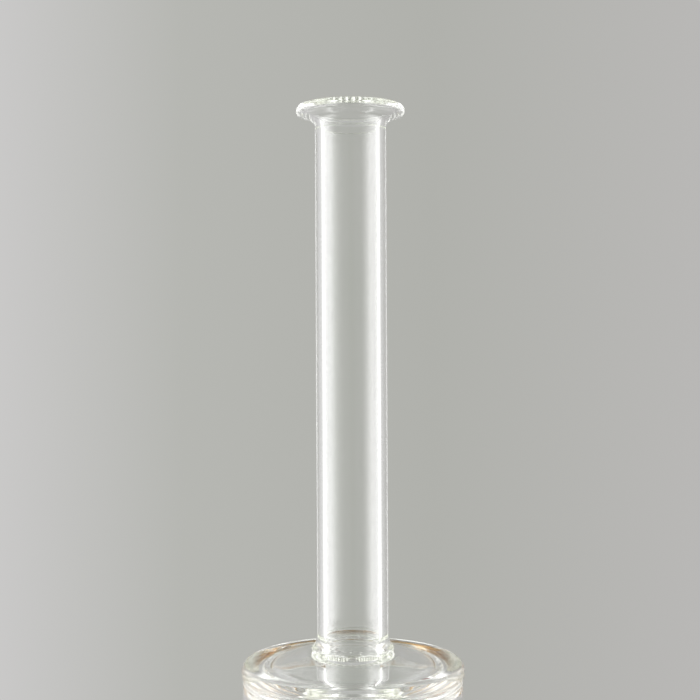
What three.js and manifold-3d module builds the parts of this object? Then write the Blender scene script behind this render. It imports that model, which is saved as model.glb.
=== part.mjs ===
// Liebig condenser with plain stems: a straight vapour path inside a wide water jacket, all in clear
// borosilicate glass, with two screw-thread side arms that carry removable plastic hose connections.
// Millimetres, +Z up. The origin is on the condenser's axis, level with the lowest point of the drip
// tip. The outlet arm, near the top, points to +X and the inlet arm, near the bottom, to -X.
import * as THREE from "three";
import { mergeVertices } from "three/addons/utils/BufferGeometryUtils.js";
import Module from "manifold-3d";

const wasm = await Module();
wasm.setup();

// ---------------------------------------------------------------- driving dimensions
const SEGMENTS = 40; // facets round the main glass
const ARM_SEGMENTS = 24; // facets round the side arms, caps and seal rings
const NOZZLE_SEGMENTS = 16;
const FUSE_GAP = 0.02; // the fused glass pieces stop this far apart
const TUBE_WALL = 1.5; // glass of the stems and side arms

// Vapour path
const Z_MOUTH = 400; // ground face of the mouth
const STEM_R = 6.4; // outside of the stems and of the condensing tube
const BORE_R = STEM_R - TUBE_WALL;
const LIP_R = 9.77; // outside of the flared mouth
const LIP_DEPTH = 4.2; // the flare ends this far below the mouth face
const TIP_ANGLE = 35; // slope of the drip tip's cut, in degrees

// Jacket. A seam is where a shoulder meets the barrel.
const Z_UPPER = 297.5; // upper seam
const Z_LOWER = 97.5; // lower seam
const JACKET_R = 19.8;
const JACKET_BORE_R = JACKET_R - 1.8;
const SEAM_INNER_R = 15.9; // inner edge of the face where shoulder and barrel meet
const SHOULDER_R = 20.05; // outside of the shoulder's thick rim
// Distances from the seam, away from the barrel
const HUB_UNDER = 2.6; // inner face of the shoulder, where the condensing tube starts
const HUB_TOP = 4.93; // flat on the shoulder that the ring seal stands on
const SEAL_TOP = 7.6; // far end of the ring seal

// Side arms
const ARM_INSET = 27; // arm's axis from the nearest seam
const Z_OUTLET = Z_UPPER - ARM_INSET;
const Z_INLET = Z_LOWER + ARM_INSET;
const ARM_R = 5.4; // plain part of the side arm
const ARM_BORE_R = ARM_R - TUBE_WALL;
const ARM_END = 46; // mouth of the side arm, from the condenser's axis
const ARM_FOOT_R = JACKET_R + 0.03; // the arm's foot is cut back to this radius round the jacket

// Rounded thread, one start, right handed
const THREAD = {
  from: 36.6,
  to: 45.6,
  pitch: 2.5,
  minorR: 5.95,
  depth: 1.0,
  clearance: 0.45, // radial play between the glass and the cap
  steps: 20,
};

// Hose connection. from, to and face are distances from the condenser's axis, along the arm.
const FIT_GAP = 0.06; // between the arm's mouth, the seal ring and the nozzle's collar
const SEAL_RING = { inner: 3.35, outer: 6.0, from: ARM_END + FIT_GAP, to: 48.0 };
const COLLAR = { r: 6.1, from: SEAL_RING.to + FIT_GAP, to: 49.6 };
const CAP = { r: 9.6, hole: 4.9, from: 37.3, face: COLLAR.to + 0.1, to: 51.3 };
const SPIGOT = { r: 3.2, from: 41 };
const NOZZLE = { boreR: 2.2, shaftR: 4.0, rootR: 3.6, endR: 3.25, leg: 24 };
const BEND = { from: 53.5, r: 8, steps: 5 }; // quarter turn down
const BARBS = { count: 3, r: 4.7, first: 5.4, pitch: 6.0, rise: 0.35, length: 5.4 };

// ---------------------------------------------------------------- geometry helpers

// Drops what a closed solid doesn't need, merges shared vertices and turns the faces outwards.
function closed(geometry) {
  const bare = geometry.index ? geometry.toNonIndexed() : geometry.clone();
  bare.deleteAttribute("normal");
  bare.deleteAttribute("uv");
  const merged = mergeVertices(bare, 1e-4);
  const index = merged.index.array;
  const positions = merged.attributes.position;
  const corners = [0, 1, 2].map(() => new THREE.Vector3());
  const kept = [];
  let volume = 0; // six times the enclosed volume, negative when the faces point inwards
  for (let i = 0; i < index.length; i += 3) {
    const face = [index[i], index[i + 1], index[i + 2]];
    if (new Set(face).size < 3) continue;
    const [a, b, c] = corners.map((corner, k) => corner.fromBufferAttribute(positions, face[k]));
    volume += a.dot(b.cross(c));
    kept.push(...face);
  }
  if (volume < 0) {
    for (let i = 0; i < kept.length; i += 3) {
      [kept[i + 1], kept[i + 2]] = [kept[i + 2], kept[i + 1]];
    }
  }
  merged.setIndex(kept);
  return merged;
}

// A closed profile of [radius, height] pairs turned about +Z.
function turned(profile, segments = SEGMENTS) {
  const points = [...profile, profile[0]].map(([r, z]) => new THREE.Vector2(r, z));
  return new THREE.LatheGeometry(points, segments).rotateX(Math.PI / 2);
}

// A plain tube along +Z.
function tube({ inner, outer, from, to }, segments = SEGMENTS) {
  const profile = [
    [inner, from],
    [outer, from],
    [outer, to],
    [inner, to],
  ];
  return turned(profile, segments);
}

// Passes each vertex of a geometry to a function that moves it in place.
function shaped(geometry, move) {
  const positions = geometry.attributes.position;
  const vertex = new THREE.Vector3();
  for (let i = 0; i < positions.count; i++) {
    vertex.fromBufferAttribute(positions, i);
    move(vertex);
    positions.setXYZ(i, vertex.x, vertex.y, vertex.z);
  }
  return geometry;
}

function toSolid(geometry) {
  const shell = closed(geometry);
  return new wasm.Manifold(
    new wasm.Mesh({
      numProp: 3,
      vertProperties: new Float32Array(shell.attributes.position.array),
      triVerts: new Uint32Array(shell.index.array),
    }),
  );
}

function fromSolid(solid) {
  const mesh = solid.getMesh();
  const stride = mesh.numProp;
  const positions = new Float32Array(mesh.numVert * 3);
  for (let i = 0; i < mesh.numVert; i++) {
    positions.set(mesh.vertProperties.subarray(i * stride, i * stride + 3), i * 3);
  }
  return new THREE.BufferGeometry()
    .setAttribute("position", new THREE.BufferAttribute(positions, 3))
    .setIndex(new THREE.BufferAttribute(mesh.triVerts, 1));
}

// ---------------------------------------------------------------- thread helpers

// Profile rows at one radius, for the thread to be raised or sunk on.
function threadRows(radius, first, last) {
  const rows = [];
  for (let i = 0; i <= THREAD.steps; i++) {
    rows.push([radius, first + (i * (last - first)) / THREAD.steps]);
  }
  return rows;
}

// Rises smoothly from 0 to 1 as x does, and is flat outside that range.
function ease(x) {
  const t = Math.min(1, Math.max(0, x));
  return t * t * (3 - 2 * t);
}

// Moves a vertex of the thread rows to its place on the thread. The thread fades in over fadeIn and
// out over fadeOut. offset gives the radial shift for a wave of 0 at the root and 1 at the crest.
function cutThread(vertex, { radius, from, to, fadeIn, fadeOut, offset }) {
  const tolerance = 1e-3;
  const { x, y, z } = vertex;
  const r = Math.hypot(x, y);
  if (Math.abs(r - radius) >= tolerance) return;
  if (z <= from - tolerance || z >= to + tolerance) return;
  const fade = ease((z - from) / fadeIn) * ease((to - z) / fadeOut);
  const wave = 0.5 + 0.5 * Math.cos((2 * Math.PI * z) / THREAD.pitch - Math.atan2(y, x));
  const scale = (radius + fade * offset(wave)) / r;
  vertex.x *= scale;
  vertex.y *= scale;
}

// ---------------------------------------------------------------- materials
const glass = new THREE.MeshStandardMaterial({
  color: 0xe9eeea,
  roughness: 0.03,
  metalness: 0,
  transparent: true,
  opacity: 0.35,
});
const capRed = new THREE.MeshStandardMaterial({
  color: 0xa81f1c,
  roughness: 0.42,
  metalness: 0,
});
const nozzleWhite = new THREE.MeshStandardMaterial({
  color: 0xe4e2da,
  roughness: 0.5,
  metalness: 0,
});
const silicone = new THREE.MeshStandardMaterial({
  color: 0xc9c3b4,
  roughness: 0.6,
  metalness: 0,
});

// ---------------------------------------------------------------- vapour path

// Tube end flared out into a bell, with a narrow flat ring on top of its rim.
function mouthLip() {
  // [radius, depth below the mouth face]: up the outside, then down the inside
  const profile = [
    [BORE_R, LIP_DEPTH],
    [STEM_R, LIP_DEPTH],
    [6.45, 3.75],
    [6.65, 3.2],
    [7.1, 2.65],
    [7.8, 2.25],
    [8.6, 1.97],
    [9.3, 1.72],
    [9.65, 1.45],
    [LIP_R, 1.1],
    [LIP_R, 0.7],
    [9.55, 0.25],
    [9.1, 0],
    [8.3, 0],
    [7.75, 0.5],
    [6.7, 1.18],
    [5.75, 2.0],
    [5.15, 2.95],
    [BORE_R, 3.9],
  ];
  return turned(profile.map(([r, depth]) => [r, Z_MOUTH - depth]));
}

const stemTube = (from, to) => tube({ inner: BORE_R, outer: STEM_R, from, to });

function upperStem() {
  return stemTube(Z_UPPER + SEAL_TOP + FUSE_GAP, Z_MOUTH - LIP_DEPTH - FUSE_GAP);
}

// The tube that vapour condenses in, between the two shoulders.
function condensingTube() {
  const inset = HUB_UNDER - FUSE_GAP;
  return stemTube(Z_LOWER - inset, Z_UPPER + inset);
}

// Lower stem, cut at a slope so that drops leave from one point, on its -X side.
function lowerStem() {
  const slope = Math.tan((TIP_ANGLE * Math.PI) / 180);
  return shaped(stemTube(0, Z_LOWER - SEAL_TOP - FUSE_GAP), (vertex) => {
    if (vertex.z < 1) vertex.z = (vertex.x + STEM_R) * slope;
  });
}

// ---------------------------------------------------------------- jacket

// Turns [radius, distance from the seam] pairs. direction is +1 at the top of the jacket, -1 at the
// bottom.
function turnedFromSeam(profile, zSeam, direction) {
  return turned(profile.map(([r, distance]) => [r, zSeam + direction * distance]));
}

// Flared foot that stands on the shoulder.
function ringSeal(zSeam, direction) {
  const profile = [
    [BORE_R, HUB_TOP + FUSE_GAP],
    [7.48, HUB_TOP + FUSE_GAP],
    [7.4, 5.2],
    [7.12, 5.45],
    [6.9, 5.75],
    [6.62, 6.5],
    [STEM_R, SEAL_TOP],
    [BORE_R, SEAL_TOP],
  ];
  return turnedFromSeam(profile, zSeam, direction);
}

// Thick end plate of the jacket: a shallow cone with a raised, rounded rim.
function shoulder(zSeam, direction) {
  const profile = [
    [BORE_R, HUB_UNDER],
    [STEM_R + 0.9, HUB_UNDER],
    [10.0, 1.9],
    [14.3, 0.7],
    [SEAM_INNER_R, FUSE_GAP],
    [19.95, FUSE_GAP],
    [SHOULDER_R, 0.35],
    [SHOULDER_R, 1.46],
    [19.7, 2.31],
    [18.85, 2.66],
    [16.2, 2.52],
    [14.6, 2.78],
    [7.6, HUB_TOP],
    [BORE_R, HUB_TOP],
  ];
  return turnedFromSeam(profile, zSeam, direction);
}

// Barrel with thickened ends, open to both side arms.
function jacketBarrel() {
  const endR = JACKET_R - 0.1; // outer edge of the end faces
  const profile = [
    [SEAM_INNER_R, Z_LOWER],
    [endR, Z_LOWER],
    [JACKET_R, Z_LOWER + 0.2],
    [JACKET_R, Z_UPPER - 0.2],
    [endR, Z_UPPER],
    [SEAM_INNER_R, Z_UPPER],
    [17.3, Z_UPPER - 1.1],
    [JACKET_BORE_R, Z_UPPER - 2.6],
    [JACKET_BORE_R, Z_LOWER + 2.6],
    [17.3, Z_LOWER + 1.1],
  ];
  return fromSolid(
    toSolid(turned(profile)).subtract(portCutter(Z_OUTLET, 1)).subtract(portCutter(Z_INLET, -1)),
  );
}

// Cylinder along X that opens one side of the barrel's wall. direction is the sign of that side's x.
function portCutter(z, direction) {
  const length = 12;
  const centreX = 19;
  const cutter = new THREE.CylinderGeometry(ARM_BORE_R, ARM_BORE_R, length, ARM_SEGMENTS);
  cutter.rotateZ(Math.PI / 2);
  cutter.translate(direction * centreX, 0, z);
  return toSolid(cutter);
}

// ---------------------------------------------------------------- side arms and hose connections
// Each is made along its own +Z, outwards from the condenser's axis, with its own +X pointing down.

function sideArm() {
  // Heights below this lie that far off the jacket's surface, and follow its curve. The foot starts
  // inside the jacket and is then cut back to its surface.
  const footLimit = 2;
  const profile = [
    [ARM_BORE_R, -1.2],
    [8.0, -1.2],
    [8.0, 0.2],
    [7.0, 0.5],
    [6.1, 1.0],
    [ARM_R, 24],
    [ARM_R, THREAD.from - 1],
    ...threadRows(THREAD.minorR, THREAD.from, THREAD.to),
    [5.6, ARM_END],
    [4.3, ARM_END],
    [ARM_BORE_R, ARM_END - 0.6],
  ];
  const thread = {
    radius: THREAD.minorR,
    from: THREAD.from,
    to: THREAD.to,
    fadeIn: 1.6,
    fadeOut: 1.2,
    offset: (wave) => THREAD.depth * wave,
  };
  const arm = shaped(turned(profile, ARM_SEGMENTS), (vertex) => {
    if (vertex.z < footLimit) vertex.z += Math.sqrt(ARM_FOOT_R ** 2 - vertex.y ** 2);
    else cutThread(vertex, thread);
  });
  const cutterLength = 40;
  const jacket = new THREE.CylinderGeometry(ARM_FOOT_R, ARM_FOOT_R, cutterLength, SEGMENTS);
  jacket.rotateZ(Math.PI / 2); // the jacket's axis lies along the arm's own x
  return fromSolid(toSolid(arm).subtract(toSolid(jacket)));
}

function screwCap() {
  const rootR = THREAD.minorR + THREAD.depth + THREAD.clearance;
  const thread = {
    radius: rootR,
    from: CAP.from + 1.0,
    to: CAP.face - 1.5,
    fadeIn: 1.2,
    fadeOut: 1.2,
    offset: (wave) => -THREAD.depth * (1 - wave),
  };
  const profile = [
    [CAP.hole, CAP.to],
    [CAP.hole, CAP.face],
    [rootR, CAP.face],
    ...threadRows(rootR, thread.to, thread.from),
    [rootR + 0.4, CAP.from],
    [CAP.r - 0.4, CAP.from],
    [CAP.r, CAP.from + 0.5],
    [CAP.r, CAP.to - 0.8],
    [CAP.r - 0.8, CAP.to],
  ];
  return shaped(turned(profile, ARM_SEGMENTS), (vertex) => cutThread(vertex, thread));
}

// Elbow nozzle. It is turned straight, then bent so that its far leg points down.
function hoseNozzle() {
  const bendLength = (Math.PI / 2) * BEND.r;
  const legStart = BEND.from + bendLength;
  const end = legStart + NOZZLE.leg;
  const outer = [
    [SPIGOT.r - 0.3, SPIGOT.from],
    [SPIGOT.r, SPIGOT.from + 0.6],
    [SPIGOT.r, COLLAR.from],
    [COLLAR.r, COLLAR.from],
    [COLLAR.r, COLLAR.to],
    [NOZZLE.shaftR, COLLAR.to],
  ];
  const boreBend = [];
  for (let i = 0; i <= BEND.steps; i++) {
    const part = i / BEND.steps;
    const z = BEND.from + bendLength * part;
    outer.push([NOZZLE.shaftR + (NOZZLE.rootR - NOZZLE.shaftR) * part, z]);
    boreBend.unshift([NOZZLE.boreR, z]);
  }
  for (let i = 0; i < BARBS.count; i++) {
    const start = legStart + BARBS.first + i * BARBS.pitch;
    outer.push(
      [NOZZLE.rootR, start],
      [BARBS.r, start + BARBS.rise],
      [NOZZLE.rootR, start + BARBS.length],
    );
  }
  outer.push([NOZZLE.endR, end]);
  const bore = [[NOZZLE.boreR, end], ...boreBend, [NOZZLE.boreR, SPIGOT.from]];

  return shaped(turned([...outer, ...bore], NOZZLE_SEGMENTS), (vertex) => {
    const along = vertex.z - BEND.from;
    if (along <= 0) return;
    const angle = Math.min(along / BEND.r, Math.PI / 2);
    const pastBend = Math.max(0, along - bendLength);
    const offset = vertex.x; // across the section, in the plane of the bend
    vertex.x = BEND.r * (1 - Math.cos(angle)) + pastBend + Math.cos(angle) * offset;
    vertex.z = BEND.from + BEND.r * Math.sin(angle) - Math.sin(angle) * offset;
  });
}

// ---------------------------------------------------------------- assembly
const condenser = new THREE.Group();

function add(parent, name, geometry, material) {
  const mesh = new THREE.Mesh(closed(geometry), material);
  mesh.name = name;
  parent.add(mesh);
}

// One side arm with its fittings, at height z and turned about the condenser's axis.
function addConnection(label, z, turn) {
  const side = new THREE.Group();
  side.position.z = z;
  side.rotation.z = turn;
  condenser.add(side);
  const arm = new THREE.Group();
  arm.rotation.y = Math.PI / 2;
  side.add(arm);
  add(arm, label + "_side_arm", sideArm(), glass);
  add(arm, label + "_seal_ring", tube(SEAL_RING, ARM_SEGMENTS), silicone);
  add(arm, label + "_hose_nozzle", hoseNozzle(), nozzleWhite);
  add(arm, label + "_screw_cap", screwCap(), capRed);
}

add(condenser, "mouth_lip", mouthLip(), glass);
add(condenser, "upper_stem", upperStem(), glass);
add(condenser, "upper_ring_seal", ringSeal(Z_UPPER, 1), glass);
add(condenser, "upper_shoulder", shoulder(Z_UPPER, 1), glass);
add(condenser, "condensing_tube", condensingTube(), glass);
add(condenser, "lower_shoulder", shoulder(Z_LOWER, -1), glass);
add(condenser, "lower_ring_seal", ringSeal(Z_LOWER, -1), glass);
add(condenser, "lower_stem", lowerStem(), glass);
add(condenser, "jacket_barrel", jacketBarrel(), glass);
addConnection("outlet", Z_OUTLET, 0);
addConnection("inlet", Z_INLET, Math.PI);

export default condenser;
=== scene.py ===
"""Jacketed glass condenser with two threaded hose connections.

It stands along +Z about the origin, with its wide mouth up and its slanted drip tip down.
The outlet arm points to +X and the inlet arm to -X. The camera looks along +Y.
Sizes are in millimetres up to the section on floor, lights and camera, which is in metres.
"""
import math

import bmesh
import bpy
import numpy as np
from mathutils import Matrix, Vector


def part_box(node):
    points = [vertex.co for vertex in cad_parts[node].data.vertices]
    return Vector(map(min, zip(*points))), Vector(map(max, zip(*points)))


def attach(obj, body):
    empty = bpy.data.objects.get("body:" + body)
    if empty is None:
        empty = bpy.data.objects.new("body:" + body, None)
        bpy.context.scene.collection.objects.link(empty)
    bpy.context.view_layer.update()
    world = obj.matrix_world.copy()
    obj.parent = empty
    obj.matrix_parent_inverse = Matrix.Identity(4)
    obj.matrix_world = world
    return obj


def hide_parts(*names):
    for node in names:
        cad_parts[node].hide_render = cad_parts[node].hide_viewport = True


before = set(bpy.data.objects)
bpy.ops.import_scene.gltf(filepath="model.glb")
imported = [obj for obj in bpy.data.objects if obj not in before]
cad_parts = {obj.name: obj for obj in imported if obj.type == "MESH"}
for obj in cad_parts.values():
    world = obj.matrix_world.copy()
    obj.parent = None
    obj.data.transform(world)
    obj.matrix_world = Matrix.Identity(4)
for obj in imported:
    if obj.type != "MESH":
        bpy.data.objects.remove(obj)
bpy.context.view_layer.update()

MM = 0.001


def levels(node):
    """Bottom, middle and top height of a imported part, in millimetres."""
    low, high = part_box(node)
    return low.z / MM, (low.z + high.z) / 2 / MM, high.z / MM


# ---------------------------------------------------------------- sizes
SEAM = 0.05  # how far neighbouring pieces of the fused glass run into each other
Z_LIP, _, Z_MOUTH = levels("mouth_lip")
Z_LOWER, _, Z_UPPER = levels("jacket_barrel")
Z_OUTLET = levels("outlet_side_arm")[1]
Z_INLET = levels("inlet_side_arm")[1]
# Heights measured outwards from either end of the barrel.
SEAL_TOP = levels("upper_ring_seal")[2] - Z_UPPER
HUB_TOP = levels("upper_shoulder")[2] - Z_UPPER
HUB_UNDER = 2.6

STEM_R, BORE_R = 6.4, 4.9
JACKET_R, JACKET_BORE_R = 19.8, 18.0
ARM_R, ARM_BORE_R, ARM_END = 5.4, 3.9, 46.0
PITCH, MINOR_R, DEPTH, PLAY = 2.5, 5.95, 1.0, 0.45  # hose thread; PLAY is the gap in the cap
THREAD_FROM, THREAD_TO = 36.6, 45.6  # distance from the condenser's axis

# Closed outlines: (radius, height, trim), where trim is the length over which a corner is rounded.
LIP = [  # height is the depth below the mouth
    (STEM_R, 4.1, 9), (6.5, 3.5, 9), (6.85, 2.85, 9), (7.6, 2.3, 9), (8.6, 1.95, 9), (9.35, 1.72, 9),
    (9.77, 1.3, 9), (9.77, 0.6, 9), (9.4, 0.08, 9), (9.1, 0), (8.4, 0, 0.2), (7.8, 0.5, 9),
    (6.7, 1.15, 9), (5.7, 1.95, 9), (5.1, 2.95, 9), (BORE_R, 4.05, 9),
]
RING_SEAL = [  # height is measured outwards from the barrel's end
    (BORE_R, HUB_TOP - SEAM), (7.44, HUB_TOP - SEAM), (7.44, 5.2, 9), (7.2, 5.5, 9), (6.85, 5.85, 9),
    (6.6, 6.5, 9), (STEM_R, 7.1, 9), (STEM_R, SEAL_TOP + SEAM), (BORE_R, SEAL_TOP + SEAM),
]
SHOULDER = [  # height as for the ring seal
    (BORE_R, HUB_UNDER - SEAM), (STEM_R + 0.02, HUB_UNDER - SEAM), (7.6, 2.5, 9), (10.0, 1.9, 9),
    (14.0, 0.75, 9), (15.9, -SEAM), (19.72, -SEAM), (20.05, 0.35, 9), (20.05, 1.6, 9), (19.6, 2.55, 9),
    (18.5, 2.72, 9), (16.4, 2.5, 9), (14.8, 2.62, 9), (12.0, 3.56, 9), (7.47, HUB_TOP), (BORE_R, HUB_TOP),
]
BARREL = [
    (15.9, Z_LOWER), (19.72, Z_LOWER, 0.05), (JACKET_R, Z_LOWER + 0.15, 0.1),
    (JACKET_R, Z_UPPER - 0.15, 0.1), (19.72, Z_UPPER, 0.05), (15.9, Z_UPPER),
    (17.2, Z_UPPER - 1.0, 9), (JACKET_BORE_R, Z_UPPER - HUB_UNDER, 9),
    (JACKET_BORE_R, Z_LOWER + HUB_UNDER, 9), (17.2, Z_LOWER + 1.0, 9),
]


# ---------------------------------------------------------------- outlines and meshes
def rounded(points, steps=7):
    """Closed outline with rounded corners, each trim clipped to the room there is."""
    corners = [np.array(p[:2], float) for p in points]
    outline = []
    for i, corner in enumerate(corners):
        before, after = corners[i - 1], corners[(i + 1) % len(corners)]
        length_in, length_out = np.linalg.norm(before - corner), np.linalg.norm(after - corner)
        wanted = points[i][2] if len(points[i]) > 2 else 0.0
        trim = min(wanted, 0.49 * length_in, 0.49 * length_out)
        if trim < 1e-4:
            outline.append(corner)
            continue
        start = corner + (before - corner) * trim / length_in
        end = corner + (after - corner) * trim / length_out
        for k in range(steps + 1):
            u = k / steps
            outline.append((1 - u) ** 2 * start + 2 * u * (1 - u) * corner + u * u * end)
    return outline


def split_long(outline, longest):
    points = []
    for i, start in enumerate(outline):
        end = outline[(i + 1) % len(outline)]
        count = max(1, int(math.ceil(np.linalg.norm(end - start) / longest)))
        points += [start + (end - start) * j / count for j in range(count)]
    return points


def from_end(z_end, way, outline):
    """Outline with its heights measured from z_end, upwards (way 1) or downwards (way -1)."""
    return [(p[0], z_end + way * p[1], *p[2:]) for p in outline]


def revolve(outline, segments, shape=None):
    """Vertices and quads of an outline turned about +Z. shape(radius, z, angle) may move points."""
    outline = np.array(outline, float)
    count = len(outline)
    turn = np.arange(segments) * 2 * math.pi / segments
    radius = np.tile(outline[:, 0], (segments, 1))
    z = np.tile(outline[:, 1], (segments, 1))
    angle = np.repeat(turn[:, None], count, 1)
    if shape:
        radius, z = shape(radius, z, angle)
    verts = np.stack([radius * np.cos(angle), radius * np.sin(angle), z], -1).reshape(-1, 3)
    faces = []
    for i in range(segments):
        here, there = i * count, (i + 1) % segments * count
        for j in range(count):
            k = (j + 1) % count
            faces.append((here + j, there + j, there + k, here + k))
    return verts, faces


def add_object(name, data):
    made = bpy.data.objects.new(name, data)
    bpy.context.scene.collection.objects.link(made)
    return made


def solid_mesh(name, verts, faces):
    """Closed mesh from millimetre vertices, with its faces turned outwards."""
    mesh = bpy.data.meshes.new(name)
    mesh.from_pydata([tuple(v) for v in verts * MM], [], faces)
    mesh.update()
    bm = bmesh.new()
    bm.from_mesh(mesh)
    if bm.calc_volume(signed=True) < 0:
        bmesh.ops.reverse_faces(bm, faces=bm.faces)
    bm.to_mesh(mesh)
    bm.free()
    return mesh


def new_piece(name, verts, faces, material, body, node):
    mesh = solid_mesh(name, verts, faces)
    mesh.shade_smooth()
    mesh.materials.append(material)
    piece = add_object(name, mesh)
    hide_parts(node)
    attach(piece, body)
    return piece


def smooth_angle(piece, degrees):
    bpy.context.view_layer.objects.active = piece
    piece.select_set(True)
    bpy.ops.object.shade_smooth_by_angle(angle=math.radians(degrees))
    piece.select_set(False)


# ---------------------------------------------------------------- shader helpers
def set_inputs(tree, node, inputs):
    """Links the inputs given as sockets and sets the others."""
    for key, value in inputs.items():
        if isinstance(value, bpy.types.NodeSocket):
            tree.links.new(value, node.inputs[key])
        else:
            node.inputs[key].default_value = value


def add_node(tree, kind, inputs=None, **settings):
    node = tree.nodes.new("ShaderNode" + kind)
    for key, value in settings.items():
        setattr(node, key, value)
    set_inputs(tree, node, inputs or {})
    return node


def new_material(name):
    material = bpy.data.materials.new(name)
    material.use_nodes = True
    tree = material.node_tree
    return material, tree, tree.nodes["Principled BSDF"], tree.nodes["Material Output"]


def position(tree, kind="Object"):
    return add_node(tree, "TexCoord").outputs[kind]


def coords(tree, stretch=(1, 1, 1)):
    inputs = {"Vector": position(tree), "Scale": stretch}
    return add_node(tree, "Mapping", inputs).outputs["Vector"]


def noise(tree, vector, scale, detail, rough=0.5):
    inputs = {"Vector": vector, "Scale": scale, "Detail": detail, "Roughness": rough}
    return add_node(tree, "TexNoise", inputs).outputs["Fac"]


def ramp(tree, factor, stops):
    node = add_node(tree, "ValToRGB", {"Fac": factor})
    elements = node.color_ramp.elements
    for element, (place, color) in ((elements[0], stops[0]), (elements[1], stops[-1])):
        element.position = place
        element.color = (*color, 1)
    for place, color in stops[1:-1]:
        elements.new(place).color = (*color, 1)
    return node.outputs["Color"]


def span(tree, value, low, high):
    inputs = {"Value": value, "To Min": low, "To Max": high}
    return add_node(tree, "MapRange", inputs).outputs["Result"]


def smooth_step(tree, value, start, end):
    inputs = {"Value": value, "From Min": start, "From Max": end}
    return add_node(tree, "MapRange", inputs, interpolation_type="SMOOTHSTEP").outputs["Result"]


def mix_colors(tree, factor, first, second):
    inputs = {"Factor": factor, 6: first, 7: second}  # 6 and 7 are the colour sockets A and B
    return add_node(tree, "Mix", inputs, data_type="RGBA").outputs[2]


def bump(tree, shader, height, strength):
    inputs = {"Height": height, "Strength": strength, "Distance": 0.00002}
    normal = add_node(tree, "Bump", inputs).outputs["Normal"]
    tree.links.new(normal, shader.inputs["Normal"])


# ---------------------------------------------------------------- materials
def residue(tree, clean):
    """Amber mineral streaks in the corner between the end plates and the jacket."""
    ring_radius, ring_sharpness = 0.0171, 900  # in metres and per metre
    around_scale, radial_scale, height_scale = 1.3, 420, 90  # streak frequency each way
    front_amount, back_gain = 0.12, 1.3  # strongest at the back (+Y), fading to none in front
    strength = 2.6

    def calc(operation, *values, clamp=False):
        inputs = dict(enumerate(values))
        return add_node(tree, "Math", inputs, operation=operation, use_clamp=clamp).outputs[0]

    x, y, z = add_node(tree, "SeparateXYZ", {0: position(tree)}).outputs
    radius = calc("SQRT", calc("ADD", calc("MULTIPLY", x, x), calc("MULTIPLY", y, y)))
    off_ring = calc("ABSOLUTE", calc("SUBTRACT", radius, ring_radius))
    band = calc("SUBTRACT", 1.0, calc("MULTIPLY", off_ring, ring_sharpness), clamp=True)
    around = add_node(tree, "CombineXYZ", {
        0: calc("MULTIPLY", calc("ARCTAN2", y, x), around_scale),
        1: calc("MULTIPLY", radius, radial_scale),
        2: calc("MULTIPLY", z, height_scale),
    }).outputs[0]
    streak = span(tree, noise(tree, around, scale=2.6, detail=4, rough=0.6), low=-3.2, high=4.6)
    backness = calc("MULTIPLY", calc("DIVIDE", y, radius), back_gain)
    behind = calc("ADD", front_amount, backness, clamp=True)
    spread = calc("MULTIPLY", calc("MULTIPLY", band, streak, clamp=True), behind, clamp=True)
    amount = calc("MULTIPLY", spread, strength, clamp=True)
    return mix_colors(tree, amount, clean, (0.36, 0.15, 0.025, 1))


def glass_material(name, draw, waviness, stained=False):
    """Clear borosilicate. A low value in draw stretches its faint waves along that axis."""
    material, tree, shader, output = new_material(name)
    tint = noise(tree, coords(tree, (1, 1, 0.4)), scale=90, detail=2)
    clean = ramp(tree, tint, [(0.3, (0.958, 0.966, 0.955)), (0.7, (0.978, 0.980, 0.976))])
    film = noise(tree, coords(tree), scale=160, detail=4, rough=0.6)
    set_inputs(tree, shader, {
        "Transmission Weight": 1.0,
        "IOR": 1.474,
        "Base Color": residue(tree, clean) if stained else clean,
        "Roughness": span(tree, film, low=0.0, high=0.012),
    })
    waves = noise(tree, coords(tree, draw), scale=420, detail=2)
    bump(tree, shader, waves, strength=waviness)
    tone = {"Color": (0.78, 0.82, 0.50, 1), "Density": 0.9}  # faint green in thick glass
    absorption = add_node(tree, "VolumeAbsorption", tone)
    tree.links.new(absorption.outputs["Volume"], output.inputs["Volume"])
    return material


def plastic_material(name, dark, light, rough, grain_scale=2700, subsurface=0.0):
    material, tree, shader, _ = new_material(name)
    shade = noise(tree, coords(tree), scale=130, detail=5, rough=0.55)
    wear = noise(tree, coords(tree), scale=420, detail=6, rough=0.65)
    set_inputs(tree, shader, {
        "Base Color": ramp(tree, shade, [(0.3, dark), (0.72, light)]),
        "Roughness": span(tree, wear, low=rough - 0.09, high=rough + 0.12),
        "IOR": 1.5,
    })
    if subsurface:
        set_inputs(tree, shader, {
            "Subsurface Weight": subsurface,
            "Subsurface Radius": (1, 0.9, 0.8),
            "Subsurface Scale": 0.0012,
        })
    bump(tree, shader, noise(tree, coords(tree), scale=grain_scale, detail=3), strength=0.35)
    return material


tube_glass = glass_material("drawn_tube_glass", draw=(1, 1, 0.05), waviness=0.25)
worked_glass = glass_material("flame_worked_glass", draw=(0.5, 0.5, 0.5), waviness=0.2)
stained_glass = glass_material(
    "flame_worked_glass_with_residue", draw=(0.5, 0.5, 0.5), waviness=0.12, stained=True)
red_plastic = plastic_material(
    "moulded_red_plastic", dark=(0.33, 0.012, 0.010), light=(0.47, 0.020, 0.016), rough=0.36)
milky_plastic = plastic_material(
    "milky_plastic", dark=(0.66, 0.65, 0.60), light=(0.78, 0.77, 0.73), rough=0.46, subsurface=0.35)
silicone = plastic_material(
    "pale_silicone", dark=(0.50, 0.47, 0.40), light=(0.62, 0.58, 0.50), rough=0.58, grain_scale=2100)

# ---------------------------------------------------------------- the fused glass
ROUND = 512  # segments around the axis
GLASS = "glass_body"


def glass_piece(node, outline, material, shape=None):
    verts, faces = revolve(outline, ROUND, shape)
    return new_piece(f"{node}_glass", verts, faces, material, GLASS, node)


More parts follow.
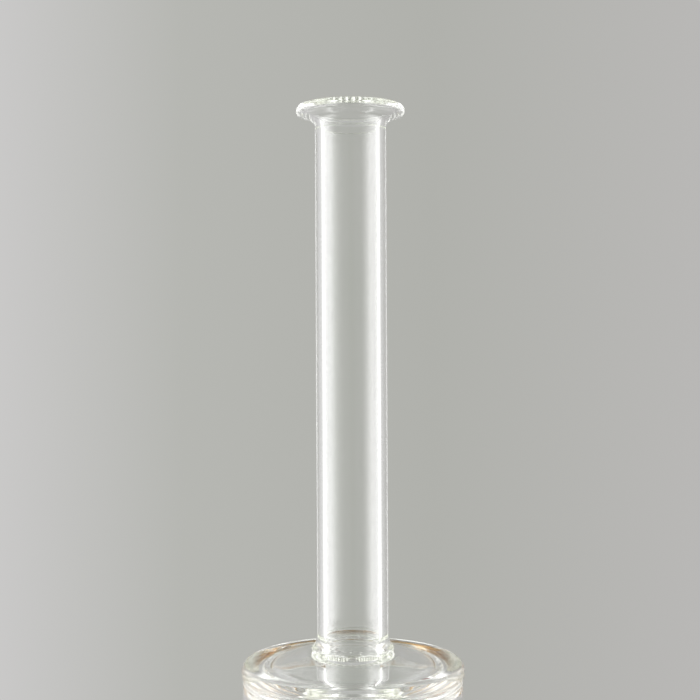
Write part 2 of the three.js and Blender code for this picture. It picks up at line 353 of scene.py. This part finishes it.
def lathe(node, points, material, steps=7):
    piece = glass_piece(node, split_long(rounded(points, steps), 6.0), material)
    smooth_angle(piece, 35)
    return piece


def tube(node, low, high):
    outline = [(BORE_R, low), (STEM_R, low), (STEM_R, high), (BORE_R, high)]
    lathe(node, outline, tube_glass)


def trap_bubbles(piece, z_end, way, seed):
    """Tiny bubbles in the ring seal's solid glass: small hollows whose faces point inwards."""
    rng = np.random.default_rng(seed)
    bm = bmesh.new()
    bm.from_mesh(piece.data)
    bubbles = []
    while len(bubbles) < 46:
        angle = rng.uniform(0, 2 * math.pi)
        radius = rng.uniform(5.4, 6.6)
        height = rng.uniform(5.25, 5.55)
        size = rng.uniform(0.07, 0.17)
        at = np.array((radius * math.cos(angle), radius * math.sin(angle), z_end + way * height))
        if any(np.linalg.norm(at - spot) < size + other + 0.05 for spot, other in bubbles):
            continue
        bubbles.append((at, size))
        made = bmesh.ops.create_icosphere(
            bm, subdivisions=2, radius=size * MM, matrix=Matrix.Translation(Vector(at * MM)))
        faces = list({f for v in made["verts"] for f in v.link_faces})
        for face in faces:
            face.smooth = True
        bmesh.ops.reverse_faces(bm, faces=faces)
    bm.to_mesh(piece.data)
    bm.free()


def ring_seal(node, z_end, way, seed):
    piece = lathe(node, from_end(z_end, way, RING_SEAL), worked_glass)
    trap_bubbles(piece, z_end, way, seed)


def lower_stem():
    """Stem that ends in a slanted drip tip with a lightly rounded edge, lowest towards -X."""
    slope, fade_height = math.radians(35), 20.0
    top = Z_LOWER - SEAL_TOP + SEAM
    points = [(BORE_R, 0, 0.45), (STEM_R, 0, 0.45), (STEM_R, top), (BORE_R, top)]

    def drip(radius, z, angle):
        rise = (radius * np.cos(angle) + STEM_R) * math.tan(slope)
        return radius, z + rise * np.clip(1 - z / fade_height, 0, 1)

    outline = split_long(rounded(points, 6), 5.0)
    smooth_angle(glass_piece("lower_stem", outline, tube_glass, drip), 35)


def cut_port(barrel, z, way):
    """Round hole that a side arm opens into."""
    inner, outer, core = 14, 24, 1e-3  # reach of the cutter along the arm, and its tiny core radius
    outline = [(core, inner), (ARM_BORE_R, inner), (ARM_BORE_R, outer), (core, outer)]
    cutter = add_object("cutter", solid_mesh("cutter", *revolve(outline, 96)))
    turn = Matrix.Rotation(way * math.pi / 2, 4, "Y")
    cutter.matrix_world = Matrix.Translation((0, 0, z * MM)) @ turn
    bpy.context.view_layer.update()
    port = barrel.modifiers.new("port", "BOOLEAN")
    port.operation = "DIFFERENCE"
    port.solver = "EXACT"
    port.object = cutter
    evaluated = barrel.evaluated_get(bpy.context.evaluated_depsgraph_get())
    baked = bpy.data.meshes.new_from_object(evaluated)
    barrel.modifiers.clear()
    barrel.data = baked
    bpy.data.objects.remove(cutter)


def jacket_barrel():
    barrel = glass_piece("jacket_barrel", split_long(rounded(BARREL), 8.0), tube_glass)
    cut_port(barrel, Z_OUTLET, 1)
    cut_port(barrel, Z_INLET, -1)
    smooth_angle(barrel, 35)


lip_foot = [(BORE_R, Z_LIP - SEAM), (STEM_R, Z_LIP - SEAM)]
lathe("mouth_lip", lip_foot + from_end(Z_MOUTH, -1, LIP), worked_glass, steps=8)
tube("upper_stem", Z_UPPER + SEAL_TOP - SEAM, Z_LIP + SEAM)
ring_seal("upper_ring_seal", Z_UPPER, 1, seed=11)
lathe("upper_shoulder", from_end(Z_UPPER, 1, SHOULDER), stained_glass)
tube("condensing_tube", Z_LOWER - HUB_UNDER, Z_UPPER + HUB_UNDER)
lathe("lower_shoulder", from_end(Z_LOWER, -1, SHOULDER), stained_glass)
ring_seal("lower_ring_seal", Z_LOWER, -1, seed=12)
lower_stem()
jacket_barrel()


# ---------------------------------------------------------------- side arms and hose connections
# Each piece is made in its arm's own frame: outwards along +Z from the condenser's axis, +X down.
def ease(x):
    x = np.clip(x, 0, 1)
    return x * x * (3 - 2 * x)


def window(z, low, high, rise, fall):
    """1 between low and high, easing to 0 at both over the lengths rise and fall."""
    return ease((z - low) / rise) * ease((high - z) / fall)


def thread_wave(z, angle):
    return 0.5 + 0.5 * np.cos(2 * math.pi * z / PITCH - angle)


def rows(start, end, radius, count):
    return [(radius, start + (end - start) * i / count) for i in range(count + 1)]


def arm_mesh():
    """Glass arm with a flared foot that follows the barrel's wall, and a thread at its end."""
    foot = rounded([  # height above the barrel's wall; the last point only leads the wall on
        (ARM_BORE_R, 0), (8.0, 0), (7.95, 0.16, 9), (6.9, 0.45, 9), (6.0, 1.2, 9), (ARM_R, 2.6, 9),
        (ARM_R, 12),
    ], 6)[:-1]
    outline = [
        *foot, (ARM_R, 24), (ARM_R, 34.9), (5.6, 35.8),
        *rows(THREAD_FROM, THREAD_TO, MINOR_R, 100),
        (5.75, 45.8), (5.5, 45.97), (5.1, ARM_END), (4.5, ARM_END), (4.1, 45.9),
        (ARM_BORE_R, 45.5), (ARM_BORE_R, 24),
    ]

    def shape(radius, z, angle):
        in_foot = np.zeros_like(z, bool)
        in_foot[:, :len(foot)] = True
        wall = np.sqrt((JACKET_R - SEAM) ** 2 - (radius * np.sin(angle)) ** 2)
        z = np.where(in_foot, z + wall, z)
        ridge = DEPTH * window(z, THREAD_FROM, THREAD_TO, 1.6, 1.2) * thread_wave(z, angle)
        threaded = (np.abs(radius - MINOR_R) < 1e-3) & ~in_foot
        return np.where(threaded, MINOR_R + ridge, radius), z

    return revolve(outline, 120, shape)


def cap_mesh():
    """Screw cap with an inner thread and grip ribs on its wall."""
    ribs, wall_r, rib_r, rib_depth = 30, 9.5, 9.58, 0.5
    root = MINOR_R + DEPTH + PLAY
    low, high = 38.3, 48.2  # ends of the inner thread
    outline = [
        (4.9, 51.1), (4.9, 49.7), (root, 49.7), *rows(high, low, root, 100),
        (root + 0.35, 37.5), (root + 0.6, 37.3), (9.0, 37.3), (9.3, 37.4), (9.45, 37.6),
        *rows(38.0, 50.2, wall_r, 24),
        (9.42, 50.6), (9.2, 50.95), (8.85, 51.2), (8.4, 51.3), (6.6, 51.3), (6.45, 51.24),
        (6.3, 51.05), (5.9, 51.0), (5.2, 51.15), (5.02, 51.2),
    ]

    def shape(radius, z, angle):
        ridge = DEPTH * window(z, low, high, 1.2, 1.2) * (1 - thread_wave(z, angle))
        threaded = np.abs(radius - root) < 1e-3
        radius = np.where(threaded, root - ridge, radius)
        rib = np.clip(0.5 + 0.9 * np.cos(ribs * angle), 0, 1)
        groove = rib_depth * window(z, 38.6, 49.9, 0.8, 0.8) * (1 - rib)
        on_wall = np.abs(radius - wall_r) < 1e-3
        return np.where(on_wall, rib_r - groove, radius), z

    return revolve(outline, 360, shape)


def ring_mesh():
    """Flat ring between the arm's end and the nozzle's flange."""
    inner, outer, low, high = 3.35, 6.0, ARM_END + 0.06, 48.0
    points = [(inner, low, 0.2), (outer, low, 0.3), (outer, high, 0.3), (inner, high, 0.2)]
    return revolve(rounded(points, 6), 96)


def nozzle_mesh():
    """Barbed nozzle: turned straight, then bent down through a quarter circle."""
    start, bend_r, bore_r, inner_end = 53.5, 8.0, 2.2, 41
    arc = math.pi / 2 * bend_r
    leg = start + arc
    end = leg + 24
    stations = [start + arc * i / 24 for i in range(25)]
    points = [  # shank inside the arm, flange, neck
        (2.9, inner_end, 0.2), (3.2, 41.6, 0.3), (3.2, 48.06, 0.1), (6.1, 48.06, 0.25),
        (6.1, 49.6, 0.35), (4.05, 49.6, 0.3), (4.0, 51.2, 0.3),
    ]
    points += [(4.0 - 0.4 * i / 24, z) for i, z in enumerate(stations)]
    for k in range(3):
        barb = leg + 5.4 + 6 * k
        points += [
            (3.6, barb, 0.15), (4.7, barb + 0.3, 0.12), (4.68, barb + 0.7, 0.15),
            (3.6, barb + 5.4, 0.3),
        ]
    points += [(3.25, end, 0.3), (bore_r, end, 0.25)]
    points += [(bore_r, z) for z in reversed(stations)]
    points += [(bore_r, inner_end, 0.2)]
    verts, faces = revolve(split_long(rounded(points, 5), 2.5), 72)

    x, y, z = verts.T
    along = z - start
    turn = np.clip(along / bend_r, 0, math.pi / 2)
    past = np.clip(along - arc, 0, None)
    bent_x = bend_r * (1 - np.cos(turn)) + past + np.cos(turn) * x
    bent_z = start + bend_r * np.sin(turn) - np.sin(turn) * x
    return np.stack([bent_x, y, np.where(along > 0, bent_z, z)], -1), faces


def hose_connection(side, level, way):
    for part, (verts, faces), material, slot, body in (
        ("side_arm", arm_mesh(), worked_glass, "glass", GLASS),
        ("seal_ring", ring_mesh(), silicone, "silicone", f"{side}_seal"),
        ("hose_nozzle", nozzle_mesh(), milky_plastic, "white_plastic", f"{side}_nozzle"),
        ("screw_cap", cap_mesh(), red_plastic, "red_plastic", f"{side}_cap"),
    ):
        x, y, z = verts.T
        verts = np.stack([way * z, way * y, level - x], -1)
        node = f"{side}_{part}"
        piece = new_piece(f"{node}_visual", verts, faces, material, body, node)
        smooth_angle(piece, 40)


hose_connection("outlet", Z_OUTLET, 1)
hose_connection("inlet", Z_INLET, -1)

# ---------------------------------------------------------------- floor and world, in metres
FLOOR = -0.5  # well below the condenser, which hangs clear of it
FLOOR_HALF = 60
scene = bpy.context.scene


def backdrop(tree):
    """Plain pale backdrop with painted side light, a little brighter to the left and right of the view.
    """
    across = add_node(tree, "SeparateXYZ", {0: position(tree, "Window")}).outputs[0]
    return ramp(tree, across, [
        (0.0, (0.585, 0.580, 0.575)), (0.26, (0.470, 0.474, 0.448)),
        (0.62, (0.437, 0.441, 0.414)), (1.0, (0.484, 0.478, 0.468)),
    ])


def floor_material():
    """Matt and pale, running smoothly into the backdrop far away."""
    material, tree, shader, output = new_material("pale_floor")
    shade = noise(tree, coords(tree), scale=1.5, detail=2)
    set_inputs(tree, shader, {
        "Roughness": 1.0,
        "Specular IOR Level": 0.0,
        "Base Color": ramp(tree, shade, [(0.3, (0.62, 0.62, 0.60)), (0.7, (0.63, 0.63, 0.61))]),
    })
    # Far off, the floor is not lit but glows in the backdrop's colour, with its painted side light.
    distance = add_node(tree, "VectorMath", {0: position(tree)}, operation="LENGTH")
    far = smooth_step(tree, distance.outputs["Value"], start=0.4, end=2.2)
    glow = add_node(tree, "Emission", {"Color": backdrop(tree)})
    mix = add_node(tree, "MixShader", {0: far, 1: shader.outputs[0], 2: glow.outputs[0]})
    tree.links.new(mix.outputs[0], output.inputs["Surface"])
    return material


def add_floor():
    corners = [(x * FLOOR_HALF, y * FLOOR_HALF, FLOOR) for x, y in ((-1, -1), (1, -1), (1, 1), (-1, 1))]
    mesh = bpy.data.meshes.new("floor")
    mesh.from_pydata(corners, [], [(0, 1, 2, 3)])
    floor = add_object("floor", mesh)
    mesh.materials.append(floor_material())


def add_world():
    """The backdrop low down, easing into an even pale sky."""
    scene.world = bpy.data.worlds.new("studio")
    scene.world.use_nodes = True
    tree = scene.world.node_tree
    height = add_node(tree, "SeparateXYZ", {0: position(tree, "Generated")}).outputs[2]
    upwards = smooth_step(tree, height, start=0.26, end=0.75)
    sky = mix_colors(tree, upwards, backdrop(tree), (0.52, 0.52, 0.51, 1))
    set_inputs(tree, tree.nodes["Background"], {"Color": sky, "Strength": 1.0})


# ---------------------------------------------------------------- camera and lights, in metres
def add_camera():
    """Almost level, so the lip is seen from a little below and the shoulder from above."""
    distance = 0.22968
    tilt, roll = math.radians(0.34), math.radians(-0.28)
    aim = Vector((-0.00027, 0, (Z_MOUTH - 43.84) * MM))
    camera = add_object("camera", bpy.data.cameras.new("camera"))
    scene.camera = camera
    camera.data.sensor_width = 36
    camera.data.lens = 65.622857
    camera.data.clip_start = 0.05
    camera.data.clip_end = 200
    back = Vector((0, -math.cos(tilt), math.sin(tilt)))
    camera.location = aim + back * distance
    camera.rotation_mode = "QUATERNION"
    level = (-back).to_track_quat("-Z", "Y")
    camera.rotation_quaternion = level @ Matrix.Rotation(roll, 4, "Z").to_quaternion()
    return camera


def add_turntable(camera):
    """Parent of the lights, which turns with the camera about the condenser's axis."""
    turntable = add_object("light_rig", None)
    follow = turntable.constraints.new("COPY_ROTATION")
    follow.target = camera
    follow.use_x = False
    follow.use_y = False
    return turntable


def glow_material(name, strength):
    """Adds light by the mesh's glow attribute and is otherwise see-through."""
    material, tree, _, _ = new_material(name)
    tree.nodes.clear()
    glow = add_node(tree, "Attribute", attribute_name="glow").outputs["Fac"]
    power = add_node(tree, "Math", {0: glow, 1: strength}, operation="MULTIPLY").outputs[0]
    light = add_node(tree, "Emission", {"Strength": power}).outputs[0]
    clear = add_node(tree, "BsdfTransparent").outputs[0]
    both = add_node(tree, "AddShader", {0: light, 1: clear}).outputs[0]
    add_node(tree, "OutputMaterial", {"Surface": both})
    return material


def side_panel(name, way, front_spread, strength):
    """Tall curved softbox to the right (way 1) or left (way -1), fading to its upright edges.

    Angles are in degrees from the camera's own direction.
    """
    middle, back_spread = 97, 45
    radius, top, floor_gap = 0.45, 0.55, 0.0005
    columns, tiers = 60, 10
    verts, glow, faces = [], [], []
    for i in range(columns + 1):
        degrees = middle - front_spread + (front_spread + back_spread) * i / columns
        spread = front_spread if degrees < middle else back_spread
        level = 0.5 + 0.5 * math.cos(math.pi * abs(degrees - middle) / spread)
        angle = math.radians(degrees) * way
        for j in range(tiers + 1):
            z = FLOOR + floor_gap + (top - FLOOR) * j / tiers
            verts.append((radius * math.sin(angle), -radius * math.cos(angle), z))
            glow.append(level)
    for i in range(columns):
        for j in range(tiers):
            k = i * (tiers + 1) + j
            faces.append((k, k + 1, k + tiers + 2, k + tiers + 1))
    mesh = bpy.data.meshes.new(name)
    mesh.from_pydata(verts, [], faces)
    mesh.attributes.new("glow", "FLOAT", "POINT").data.foreach_set("value", glow)
    mesh.materials.append(glow_material(name, strength))
    panel = add_object(name, mesh)
    panel.parent = turntable
    panel.visible_camera = False
    panel.visible_shadow = False
    panel.visible_diffuse = False


def add_key_light():
    """Soft light from the upper left that shapes the plastic and makes no hot spot on the glass."""
    target = Vector((0, 0, 0.2))
    key = add_object("key_light", bpy.data.lights.new("key_light", "AREA"))
    key.data.shape = "DISK"
    key.data.size = 0.5
    key.data.energy = 4.5
    key.parent = turntable
    key.location = (-0.55, -0.8, 0.95)
    key.rotation_mode = "QUATERNION"
    key.rotation_quaternion = (target - key.location).to_track_quat("-Z", "Y")
    key.visible_glossy = False
    key.visible_transmission = False
    key.visible_camera = False


add_floor()
add_world()
turntable = add_turntable(add_camera())
side_panel("left_softbox", way=-1, front_spread=52, strength=2.75)
side_panel("right_softbox", way=1, front_spread=68, strength=2.95)
add_key_light()

# Many bounces, so that light gets through all the layers of glass.
scene.view_settings.view_transform = "Standard"
scene.cycles.max_bounces = 256
scene.cycles.transmission_bounces = 256
scene.cycles.glossy_bounces = 256
scene.cycles.transparent_max_bounces = 16
